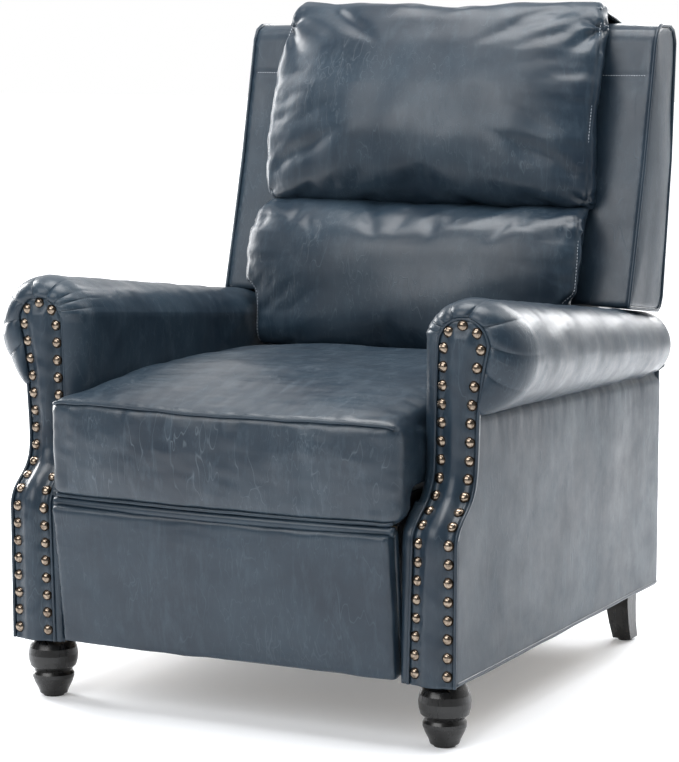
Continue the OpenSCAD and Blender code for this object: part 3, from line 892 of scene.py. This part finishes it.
def build_flat_cover(name, node, outline, plane, body, seed):
    """A flat leather panel at the rear: outline is (x, z), plane maps z to the panel's outer y."""
    verts, faces = slab_mesh(outline, COVER_THICKNESS, 0.003, 0.002, 0.012)
    world = np.column_stack([verts[:, 0], plane(verts[:, 1]) - COVER_THICKNESS + verts[:, 2], verts[:, 1]])
    cover = make_object(name, world, faces, LEATHER, body)
    outward(cover)
    displace(cover, 0.0009 * waves(world, 0.14, seed, octaves=2))
    if node:
        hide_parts(node)


def rectangle(x0, x1, z0, z1):
    return [(x0, z0), (x1, z0), (x1, z1), (x0, z1)]


def build_arm_rear_panel(side):
    """The leather that closes the rear of an arm, between the base cover and the roll."""
    foot = base_cover_high[2] - 0.003
    outer = BASE_X - 0.001
    turns = np.radians(np.linspace(-35.0, -165.0, 20))
    arc = [np.array(ROLL_REAR_CENTRE) + 0.047 * np.array([math.cos(t), math.sin(t)]) for t in turns]
    outline = np.vstack([[[ARM_WALL_X, foot], [outer, foot], [outer, 0.440]], arc, [[ARM_WALL_X, 0.458]]])
    outline[:, 0] *= SIDES[side]
    if SIDES[side] < 0.0:
        outline = outline[::-1]
    build_flat_cover(f"arm_rear_panel_{side}", None, outline,
                     lambda z: np.full(len(z), REAR - 0.0015), "base", 93)


# height against distance behind the front plane, on the outer face of the back's rear cover
REAR_COVER_MM = [(345, 757), (534, 766), (937, 812)]


def rear_cover_plane(z):
    """Y of the outer face of the back's rear cover."""
    return FRONT + read_curve(REAR_COVER_MM, z)


def build_rear_panels():
    build_flat_cover("base_rear_panel", "base_rear_cover",
                     rectangle(base_cover_low[0], base_cover_high[0], base_cover_low[2], base_cover_high[2]),
                     lambda z: np.full(len(z), base_cover_high[1]), "base", 91)
    build_flat_cover("back_rear_panel", "back_rear_cover",
                     rectangle(back_cover_low[0], back_cover_high[0],
                               back_cover_low[2] - 0.020, back_cover_high[2]),
                     rear_cover_plane, "back", 92)


# ---------- back wings ----------

# side view of a wing, anticlockwise: distance behind the front plane, height
WING_MM = [(623, 539), (652, 640), (682, 752), (724, 940), (732, 954), (748, 962), (784, 962),
           (802, 954), (811, 936), (799, 754), (768, 543), (760, 529), (750, 523)]
# height against distance behind the front plane, down a wing's front face
WING_FRONT_MM = [(542, 624), (652, 652), (752, 682), (940, 724)]
WING_SEAM_Z = 0.885


def wing_front_y(z):
    """Y of a wing's flat front face at height z."""
    return FRONT + read_curve(WING_FRONT_MM, z)


def build_wing(side):
    """A padded wing of the back, with a sewn seam across its front and a welt round each side."""
    sign = SIDES[side]
    outline = np.array([(behind(y), z * MM) for y, z in WING_MM[::-1]])
    width = wing_high[0] - wing_low[0]
    verts, faces = slab_mesh(outline, width, 0.007, 0.003, 0.007, rows=16, both=True)
    world = np.column_stack([sign * (wing_low[0] + verts[:, 2]), verts[:, 0], verts[:, 1]])
    wing = make_object(f"wing_{side}", world, faces, LEATHER, "back")
    remesh(wing, 0.0045)
    world = coordinates(wing)
    front = smoothstep(0.012, 0.0, world[:, 1] - wing_front_y(world[:, 2]))
    from_seam = world[:, 2] - WING_SEAM_Z
    seam = 0.0004 * np.exp(-(from_seam / 0.014) ** 2) - 0.0012 * np.exp(-(from_seam / 0.0045) ** 2)
    soft = 0.0010 * waves(world * (1.0, 1.0, 0.5), 0.11, seed_on(side, 41), octaves=2)
    displace(wing, front * seam + soft)
    x = sign * np.linspace(wing_low[0] + 0.006, wing_high[0] - 0.012, 30)
    line = [(place, float(wing_front_y(WING_SEAM_Z)), WING_SEAM_Z) for place in x]
    stitches(f"wing_stitches_{side}", surface_line(wing, line), 0.0042, "back")
    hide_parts(f"back_wing_{side}")
    path = resample(outline, 0.006, closed=True)
    path = path - 0.0012 * outline_normals(path)
    for name, x in (("outer", wing_high[0] - 0.0015), ("inner", wing_low[0] + 0.002)):
        welt = np.column_stack([np.full(len(path), sign * x), path])
        tube(f"wing_welt_{name}_{side}", welt, 0.0028, "back", closed=True)


# ---------- footrest pad ----------

PAD_TOP_MM = (-33.0, 292.0)
PAD_FOOT_MM = (-7.0, 93.0)
PAD_LEAN = math.atan2(PAD_FOOT_MM[0] - PAD_TOP_MM[0], PAD_TOP_MM[1] - PAD_FOOT_MM[1])


def on_pad(x, down, out):
    """World points on the leaning footrest: x across, down its front face, and out of that face."""
    lean = np.array([PAD_FOOT_MM[0] - PAD_TOP_MM[0], PAD_FOOT_MM[1] - PAD_TOP_MM[1]])
    lean /= np.linalg.norm(lean)
    y = behind(PAD_TOP_MM[0]) + down * lean[0] + out * lean[1]
    z = MM * PAD_TOP_MM[1] + down * lean[1] - out * lean[0]
    return np.column_stack([x, y, z])


def build_footrest_pad():
    """The padded footrest panel, and the leather that wraps its board's four edges."""
    length = math.dist(PAD_TOP_MM, PAD_FOOT_MM) * MM
    half = PAD_X - 0.004
    thickness = 0.0245
    verts, faces = slab_mesh(rectangle(-half, half, 0.0, length), thickness, 0.007, 0.0025, 0.005, rows=3)
    world = on_pad(verts[:, 0], length - verts[:, 1], verts[:, 2] - thickness)
    pad = make_object("footrest_pad_soft", world, faces, LEATHER, "footrest")
    remesh(pad, 0.004)
    world = coordinates(pad)
    down = (MM * PAD_TOP_MM[1] - world[:, 2]) / math.cos(PAD_LEAN)
    front = on_pad(world[:, 0], down, np.zeros(len(world)))[:, 1]
    face = smoothstep(0.008, 0.002, world[:, 1] - front)
    edge = np.minimum(half - np.abs(world[:, 0]), np.minimum(down, length - down))
    pucker = 0.0007 * waves(world * (0.35, 1.0, 1.0), 0.022, 51) * np.exp(-np.abs(edge) / 0.03)
    soft = 0.0012 * waves(world * (0.45, 1.0, 1.0), 0.12, 52, octaves=2)
    displace(pad, face * (pucker + soft))
    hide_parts("footrest_pad")
    edges = {
        "left": (half - 0.0095, half, 0.003, length - 0.003),
        "right": (-half, 0.0095 - half, 0.003, length - 0.003),
        "top": (-half, half, 0.0004, 0.0045),
        "foot": (-half, half, length - 0.0045, length - 0.0004),
    }
    for name, sides in edges.items():
        verts, faces = slab_mesh(rectangle(*sides), 0.0125, 0.0015, 0.0, 0.004)
        world = on_pad(verts[:, 0], verts[:, 1], -thickness - 0.0005 - verts[:, 2])
        outward(make_object(f"footrest_wrap_{name}", world, faces, LEATHER, "footrest"))


# ---------- soft pillows, inflated as cloth ----------

CLOTH_FRAMES = 20


def pillow(name, profile, half_width, edge, body, material):
    """A pillow's closed mesh: its (y, z) profile carried across X, with both ends rounded off.

    half_width gives the pillow's half width at each height.
    """
    profile = resample(profile, 0.006, closed=True)
    normals = outline_normals(profile)
    reach = half_width(profile[:, 1])
    turns = 6
    stations = []
    for k in range(turns):
        angle = 0.5 * math.pi * k / turns
        stations.append((edge * (1.0 - math.sin(angle)), -(reach - edge * (1.0 - math.cos(angle)))))
    middle = [(0.0, share * (reach - edge)) for share in np.linspace(-1.0, 1.0, 70)]
    stations = stations + middle + [(inset, -x) for inset, x in stations[::-1]]
    verts = []
    for inset, x in stations:
        ring = profile - inset * normals
        verts += list(np.column_stack([x, ring]))
    count = len(profile)
    faces = grid_faces(len(stations), count, wrap_cols=True)
    ring_cap(faces, verts, list(range(count)), flip=True)
    ring_cap(faces, verts, list(range((len(stations) - 1) * count, len(stations) * count)))
    obj = make_object(name, verts, faces, material, body)
    outward(obj)
    return obj


def inflate(obj, held, shrink, cap):
    """Swells a closed mesh as cloth. held is each point's pin weight; no point moves more than cap."""
    start = coordinates(obj)
    group = obj.vertex_groups.new(name="held")
    for weight in np.unique(np.round(held, 1)):
        if weight > 0.0:
            chosen = np.nonzero(np.round(held, 1) == weight)[0]
            group.add([int(i) for i in chosen], float(weight), "REPLACE")
    modifier = obj.modifiers.new("cloth", "CLOTH")
    cloth = modifier.settings
    cloth.quality = 6
    cloth.mass = 0.35
    cloth.tension_stiffness = 25.0
    cloth.compression_stiffness = 25.0
    cloth.shear_stiffness = 12.0
    cloth.bending_stiffness = 1.2
    cloth.use_pressure = True
    cloth.uniform_pressure_force = 4.0
    cloth.shrink_min = shrink
    cloth.shrink_max = shrink
    cloth.vertex_group_mass = group.name
    cloth.effector_weights.gravity = 0.0
    modifier.collision_settings.use_collision = False
    modifier.point_cache.frame_start = 1
    modifier.point_cache.frame_end = CLOTH_FRAMES
    scene = bpy.context.scene
    for step in range(1, CLOTH_FRAMES + 1):
        scene.frame_set(step)
    bake(obj)
    scene.frame_set(1)
    moved = coordinates(obj) - start
    length = np.linalg.norm(moved, axis=1)
    limit = cap * np.tanh(length / cap) / np.maximum(length, 1e-9)
    set_coordinates(obj, start + moved * limit[:, None])
    obj.vertex_groups.clear()


def nearest_on(points, line):
    """For each point, its distance to a polyline's points and the nearest of them."""
    tree = KDTree(len(line))
    for k, point in enumerate(line):
        tree.insert(point, k)
    tree.balance()
    found = [tree.find(point) for point in points]
    return np.array([f[2] for f in found]), np.array([f[1] for f in found])


def sew(obj, line, depth, width, gather, spacing, reach, seed):
    """Sinks a seam into a padded surface, with small gathers that run away from it."""
    points = coordinates(obj)
    line = resample(line, 0.0015)
    away, index = nearest_on(points, line)
    folds = waves(line, spacing, seed, octaves=2)[index]
    folds = np.sign(folds) * np.abs(folds) ** 0.8
    sunk = -depth * np.exp(-(away / width) ** 2)
    displace(obj, sunk + gather * folds * np.exp(-(away / reach) ** 1.3) * smoothstep(0.0, 0.006, away))


def stitches(name, line, pitch, body):
    """A row of short thread stitches along a line that lies on a surface."""
    line = resample(line, pitch / 2.0)
    verts, faces = [], []
    for k in range(1, len(line) - 1, 2):
        along = line[k + 1] - line[k - 1]
        along *= 0.36 * pitch / np.linalg.norm(along)
        side = np.cross(along, (0.0, -1.0, 0.2))
        side /= np.linalg.norm(side)
        up = np.cross(side, along / np.linalg.norm(along))
        start = len(verts)
        for share, size in ((-1.0, 0.15), (-0.7, 0.8), (0.0, 1.0), (0.7, 0.8), (1.0, 0.15)):
            verts += circle(line[k] + share * along, side, up, THREAD_RADIUS * size, 6)
        faces += grid_faces(5, 6, wrap_cols=True, start=start)
        faces += [tuple(range(start + 5, start - 1, -1)), tuple(range(start + 24, start + 30))]
    outward(make_object(name, verts, faces, THREAD, body))


def surface_line(obj, line):
    """Moves the points of a line on to the nearest points of an object's surface, and evens them out."""
    tree = BVHTree.FromObject(obj, bpy.context.evaluated_depsgraph_get())
    placed = np.array([tree.find_nearest(Vector(point))[0] for point in line])
    for _ in range(3):
        placed[1:-1] = 0.25 * placed[:-2] + 0.5 * placed[1:-1] + 0.25 * placed[2:]
    return placed


# ---------- seat cushion ----------

SEAT_MM = [(-33, 309), (-28, 303.5), (14, 303.5), (20, 346), (590, 346), (600, 352), (598, 440), (585, 450),
           (530, 457), (450, 463), (340, 466), (190, 463), (110, 457), (44, 449), (-20, 444), (-33, 438)]
SEAT_WELT_Z = 0.441
SEAT_SWELL = 0.011
SEAT_BOW = 0.012


def seat_front_y(x):
    """The bowed front of the seat cushion."""
    return behind(-33) + SEAT_BOW * (np.asarray(x) / SEAT_X) ** 2


def shape_seat(seat):
    """Bows the seat's front, flares it in front of the arms and raises the middle of its top."""
    points = coordinates(seat)
    front = smoothstep(behind(60), behind(-33), points[:, 1])
    points[:, 1] += front * SEAT_BOW * (points[:, 0] / SEAT_X) ** 2
    points[:, 0] *= 1.0 + SEAT_SWELL / SEAT_X * front
    across = np.clip(1.0 - (points[:, 0] / SEAT_X) ** 2, 0.0, 1.0)
    raised = smoothstep(0.40, 0.447, points[:, 2]) * smoothstep(behind(-33), behind(110), points[:, 1])
    points[:, 2] += 0.006 * across * raised
    set_coordinates(seat, points)


def seat_held(points):
    """Pin weights of the seat: its top and its front border are free to swell."""
    x, y, z = points.T
    on_front = smoothstep(behind(-18), behind(-26), y)
    top_face = smoothstep(0.440, 0.446, z) * smoothstep(SEAT_X - 0.006, SEAT_X - 0.020, np.abs(x))
    face = on_front * smoothstep(0.306, 0.316, z) * smoothstep(0.438, 0.428, z)
    face *= smoothstep(SEAT_X - 0.004, SEAT_X - 0.016, np.abs(x))
    return 1.0 - np.clip(np.maximum(top_face, face), 0.0, 1.0)


def build_seat():
    """The seat cushion, the welts of its front border and the roll under its front edge."""
    profile = np.array([(behind(y), z * MM) for y, z in SEAT_MM])
    seat = pillow("seat_cushion_soft", profile, lambda z: np.full(len(z), SEAT_X), 0.022, "seat",
                  LEATHER_SEAT)
    shape_seat(seat)
    remesh(seat, 0.006)
    inflate(seat, seat_held(coordinates(seat)), shrink=-0.006, cap=0.010)
    relax(seat, 5)
    subdivide(seat)
    points = coordinates(seat)
    sag = 0.0016 * waves(points, 0.20, 61, octaves=2) + 0.0006 * waves(points * (0.6, 1.0, 1.0), 0.07, 62)
    displace(seat, sag * smoothstep(0.30, 0.33, points[:, 2]))
    reach = SEAT_X + SEAT_SWELL - 0.008
    xs = np.linspace(-reach, reach, 240)
    dip = 0.004 * smoothstep(reach - 0.02, reach + 0.01, np.abs(xs))
    for name, height, seed, folds in (("top", SEAT_WELT_Z, 63, 0.0003), ("bottom", 0.3045, 64, 0.0002)):
        line = np.column_stack([xs, seat_front_y(xs) + 0.002, height - dip])
        line[:, 2] += 0.0012 * waves(line, 0.11, seed, octaves=2)
        placed = surface_line(seat, line)
        sew(seat, placed, 0.0018, 0.005, folds, 0.030, 0.030, seed + 5)
        tube(f"seat_welt_{name}", placed + (0.0, -0.0010, 0.0), 0.0027, "seat")
    xs = np.linspace(-SEAT_X, SEAT_X, 120)
    roll = np.column_stack([xs, seat_front_y(xs) + 0.0060, np.full(len(xs), 0.2970)])
    band = tube("seat_front_roll", roll, 0.0068, "seat", segments=16)
    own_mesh(band)
    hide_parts("seat_cushion")


# ---------- headrest and lumbar pillows ----------

# side views, anticlockwise with the front on the left: distance behind the front plane, height
HEADREST_MM = [(672, 680), (640, 679), (614, 685), (598, 702), (597, 745), (603, 795), (623, 870), (651, 936),
               (671, 974), (690, 993), (708, 998), (719, 990), (722, 960), (716, 925), (697, 845), (676, 752)]
# half widths against height
HEADREST_WIDTH = [(680, 276), (705, 280), (740, 281), (800, 279), (926, 277),
                  (955, 272), (975, 272), (997, 267)]
HEADREST_SET_BACK = 0.036
LUMBAR_MM = [(600, 458), (560, 456), (538, 460), (529, 474), (531, 505), (537, 545), (543, 580), (551, 620),
             (563, 655), (578, 677), (604, 686), (640, 690), (652, 680), (632, 590), (614, 540)]
LUMBAR_WIDTH = [(456, 261), (530, 264), (546, 265), (555, 280), (566, 287), (620, 286),
                (660, 282), (686, 274)]
LUMBAR_SET_BACK = 0.030
REAR_TAPER = 0.060


def yz(points_mm):
    """(y, z) points in metres, in the order that outline_normals expects."""
    return np.array([(behind(y), z * MM) for y, z in points_mm])[::-1]


def front_of(front_mm, z):
    """Y of a pillow's front at height z, on its middle line."""
    return np.interp(z, [p[1] * MM for p in front_mm], [behind(p[0]) for p in front_mm])


def crowned(points, front_mm, half, set_back):
    """Moves a pillow's front back towards its sides, so that it is crowned."""
    points = np.array(points)
    depth = points[:, 1] - front_of(front_mm, points[:, 2])
    share = np.clip(np.abs(points[:, 0]) / half(points[:, 2]), 0.0, 1.0)
    points[:, 1] += set_back * share ** 4 * smoothstep(0.085, 0.0, depth)
    points[:, 0] *= 1.0 - REAR_TAPER * smoothstep(0.035, 0.080, depth)
    return points


def build_pillow(name, node, profile_mm, widths, set_back, seed):
    """One of the two back pillows: inflated as cloth, then sewn with gathers down its two side seams."""
    def half(z):
        return read_curve(widths, z)

    front_mm = profile_mm[2:11]
    obj = pillow(name, yz(profile_mm), half, 0.008, "back", LEATHER)
    set_coordinates(obj, crowned(coordinates(obj), front_mm, half, set_back))
    remesh(obj, 0.006)
    points = coordinates(obj)
    heights = np.linspace(front_mm[0][1] * MM, front_mm[-1][1] * MM, 90)
    middle = np.column_stack([half(heights) - 0.003, front_of(front_mm, heights), heights])
    seams = [crowned(middle * (sign, 1.0, 1.0), front_mm, half, set_back) for sign in SIDES.values()]
    away = np.min([nearest_on(points, seam)[0] for seam in seams], axis=0)
    rear = smoothstep(0.045, 0.065, points[:, 1] - front_of(front_mm, points[:, 2]))
    held = np.clip(np.maximum(smoothstep(0.014, 0.006, away), rear), 0.0, 1.0)
    inflate(obj, held, shrink=-0.012, cap=0.014)
    relax(obj, 6)
    subdivide(obj)
    for k, (side, seam) in enumerate(zip(SIDES, seams)):
        placed = surface_line(obj, seam)
        sew(obj, placed, 0.0028, 0.0048, 0.0014, 0.034, 0.050, seed + k)
        stitches(f"{name}_stitches_{side}", surface_line(obj, placed), 0.0050, "back")
    displace(obj, 0.0018 * waves(coordinates(obj), 0.17, seed + 5, octaves=2))
    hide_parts(node)
    return obj


def gather(obj, centre, reach, depth, folds, turn):
    """Draws a pillow's corner in to a point, with folds that fan out from it."""
    points = coordinates(obj)
    offset = points - np.asarray(centre)
    away = np.linalg.norm(offset, axis=1)
    angle = np.arctan2(offset[:, 2], offset[:, 0] * math.copysign(1.0, -centre[0]))
    fan = np.cos(folds * angle + turn) * smoothstep(0.0, 0.25 * reach, away) * np.exp(-(away / reach) ** 1.5)
    displace(obj, 0.45 * depth * fan - depth * np.exp(-(away / (0.22 * reach)) ** 2))


def build_headrest():
    obj = build_pillow("headrest_pillow", "headrest_cushion", HEADREST_MM, HEADREST_WIDTH,
                       HEADREST_SET_BACK, 71)
    for sign in SIDES.values():
        gather(obj, (sign * 0.270, behind(690), 0.958), 0.062, 0.009, 5.0, 0.6)
        gather(obj, (sign * 0.270, behind(632), 0.694), 0.035, 0.004, 4.0, 0.2)


def build_headrest_flap():
    """The headrest's leather, carried over the top rail and down behind it."""
    centre = rounded([(712, 986), (745, 978), (788, 968), (808, 960), (815, 945), (814, 918)])
    centre = np.array([(behind(y), z * MM) for y, z in centre])
    tangent = np.gradient(centre, axis=0)
    tangent /= np.linalg.norm(tangent, axis=1)[:, None]
    normal = np.column_stack([-tangent[:, 1], tangent[:, 0]])
    outline = np.vstack([centre + 0.004 * normal, (centre - 0.004 * normal)[::-1]])
    pillow("headrest_flap", outline[::-1], lambda z: np.full(len(z), 0.262), 0.0035, "back", LEATHER)


def build_lumbar():
    build_pillow("lumbar_pillow", "lumbar_cushion", LUMBAR_MM, LUMBAR_WIDTH, LUMBAR_SET_BACK, 81)


# ---------- the frame's own pieces ----------

PLAIN_MATERIALS = {
    "black_lacquer": LACQUER,
    "timber": TIMBER,
    "glide_plastic": LACQUER,
    "pin_steel": ZINC,
    "spring_wire": BLACK_STEEL,
    "mechanism_steel": BLACK_STEEL,
}
WRAPPED_RAILS = ("seat_front_rail", "seat_side_rails", "back_stile_left", "back_stile_right",
                 "back_bottom_rail")


def dress_frame():
    """Gives each CAD piece that stays in sight the detailed material of its slot."""
    for name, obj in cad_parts.items():
        for slot in obj.material_slots:
            for slot_name, material in PLAIN_MATERIALS.items():
                if slot.material and slot_name in slot.material.name:
                    slot.material = material
            if name in WRAPPED_RAILS:
                slot.material = LEATHER


# ---------- floor, camera and light ----------

def studio_paper():
    """White paper that glows as painted light, not a lamp: the glow rises behind the chair so that it fades
    to plain white, lifts the chair's shadow near it, and is dimmer on the right as painted shade.
    """
    n = Nodes("studio_paper")
    place = n.add("ShaderNodeSeparateXYZ")
    n.link(n.scaled(), place.inputs[0])
    n.shader.inputs["Base Color"].default_value = (0.865, 0.885, 0.915, 1.0)
    n.shader.inputs["Roughness"].default_value = 0.9
    n.shader.inputs["Emission Color"].default_value = (1.0, 1.0, 1.0, 1.0)
    # painted light: emission that grows towards the back, and is cut on the right as painted shade
    glow = n.range(place.outputs["Y"], 0.5, 2.4, 0.20, 0.95)
    n.link(n.math("MULTIPLY", glow, n.range(place.outputs["X"], 1.0, 2.0, 1.0, 0.5)),
           n.shader.inputs["Emission Strength"])
    return n.material


def build_stage():
    """The studio floor."""
    corners = [(-30.0, -30.0, 0.0), (30.0, -30.0, 0.0), (30.0, 30.0, 0.0), (-30.0, 30.0, 0.0)]
    mesh = bpy.data.meshes.new("studio_floor")
    mesh.from_pydata(corners, [], [(0, 1, 2, 3)])
    floor = bpy.data.objects.new("studio_floor", mesh)
    bpy.context.scene.collection.objects.link(floor)
    mesh.materials.append(studio_paper())


def studio_sky():
    """White behind the chair, dimmer in front of it and overhead."""
    world = bpy.data.worlds.new("studio")
    bpy.context.scene.world = world
    world.use_nodes = True
    tree = world.node_tree
    coord = tree.nodes.new("ShaderNodeTexCoord")
    split = tree.nodes.new("ShaderNodeSeparateXYZ")
    fade = tree.nodes.new("ShaderNodeMapRange")
    for name, value in (("From Min", -0.2), ("From Max", 0.6), ("To Min", 0.16), ("To Max", 1.0)):
        fade.inputs[name].default_value = value
    tree.links.new(coord.outputs["Generated"], split.inputs[0])
    tree.links.new(split.outputs["Y"], fade.inputs["Value"])
    background = tree.nodes["Background"]
    background.inputs[0].default_value = (1.0, 1.0, 1.0, 1.0)
    tree.links.new(fade.outputs[0], background.inputs[1])


def aim(obj, place, target):
    obj.location = place
    obj.rotation_euler = (Vector(target) - Vector(place)).to_track_quat("-Z", "Y").to_euler()


def softbox(name, place, target, size, power):
    light = bpy.data.lights.new(name, "AREA")
    light.shape = "RECTANGLE"
    light.size, light.size_y = size
    light.energy = power
    obj = bpy.data.objects.new(name, light)
    bpy.context.scene.collection.objects.link(obj)
    aim(obj, place, target)


def build_lights():
    middle = (0.0, 0.0, 0.5)
    softbox("side", (1.3, 0.6, 2.2), (0.3, 0.2, 0.6), (1.0, 1.0), 11.0)
    softbox("top", (-0.1, -0.3, 3.0), middle, (2.2, 1.6), 95.0)
    softbox("back_top", (0.4, 2.9, 1.9), (0.1, 0.2, 0.5), (2.4, 1.2), 100.0)
    softbox("rim_left", (-2.2, 0.5, 1.1), (-0.2, 0.0, 0.6), (0.5, 1.8), 55.0)
    softbox("front", (-1.1, -3.3, 2.6), middle, (3.0, 2.2), 96.0)
    studio_sky()
    bpy.context.scene.view_settings.view_transform = "Standard"


def build_camera():
    data = bpy.data.cameras.new("camera")
    data.lens = 126.8
    data.sensor_width = 36.0
    data.clip_end = 40.0
    camera = bpy.data.objects.new("camera", data)
    bpy.context.scene.collection.objects.link(camera)
    aim(camera, (1.7735, -3.5443, 0.9551), (-0.002, -0.040, 0.440))
    bpy.context.scene.camera = camera


# ---------- the chair ----------

build_camera()
build_stage()
build_lights()
dress_frame()

for side in SIDES:
    build_facing(side)
    build_nails(side)
    build_arm_roll(side)
    build_inner_strip(side)
    build_side_panel(side)
    build_arm_rear_panel(side)
    build_wing(side)

build_seat()
build_lumbar()
build_headrest()
build_headrest_flap()
build_footrest_pad()
build_rear_panels()
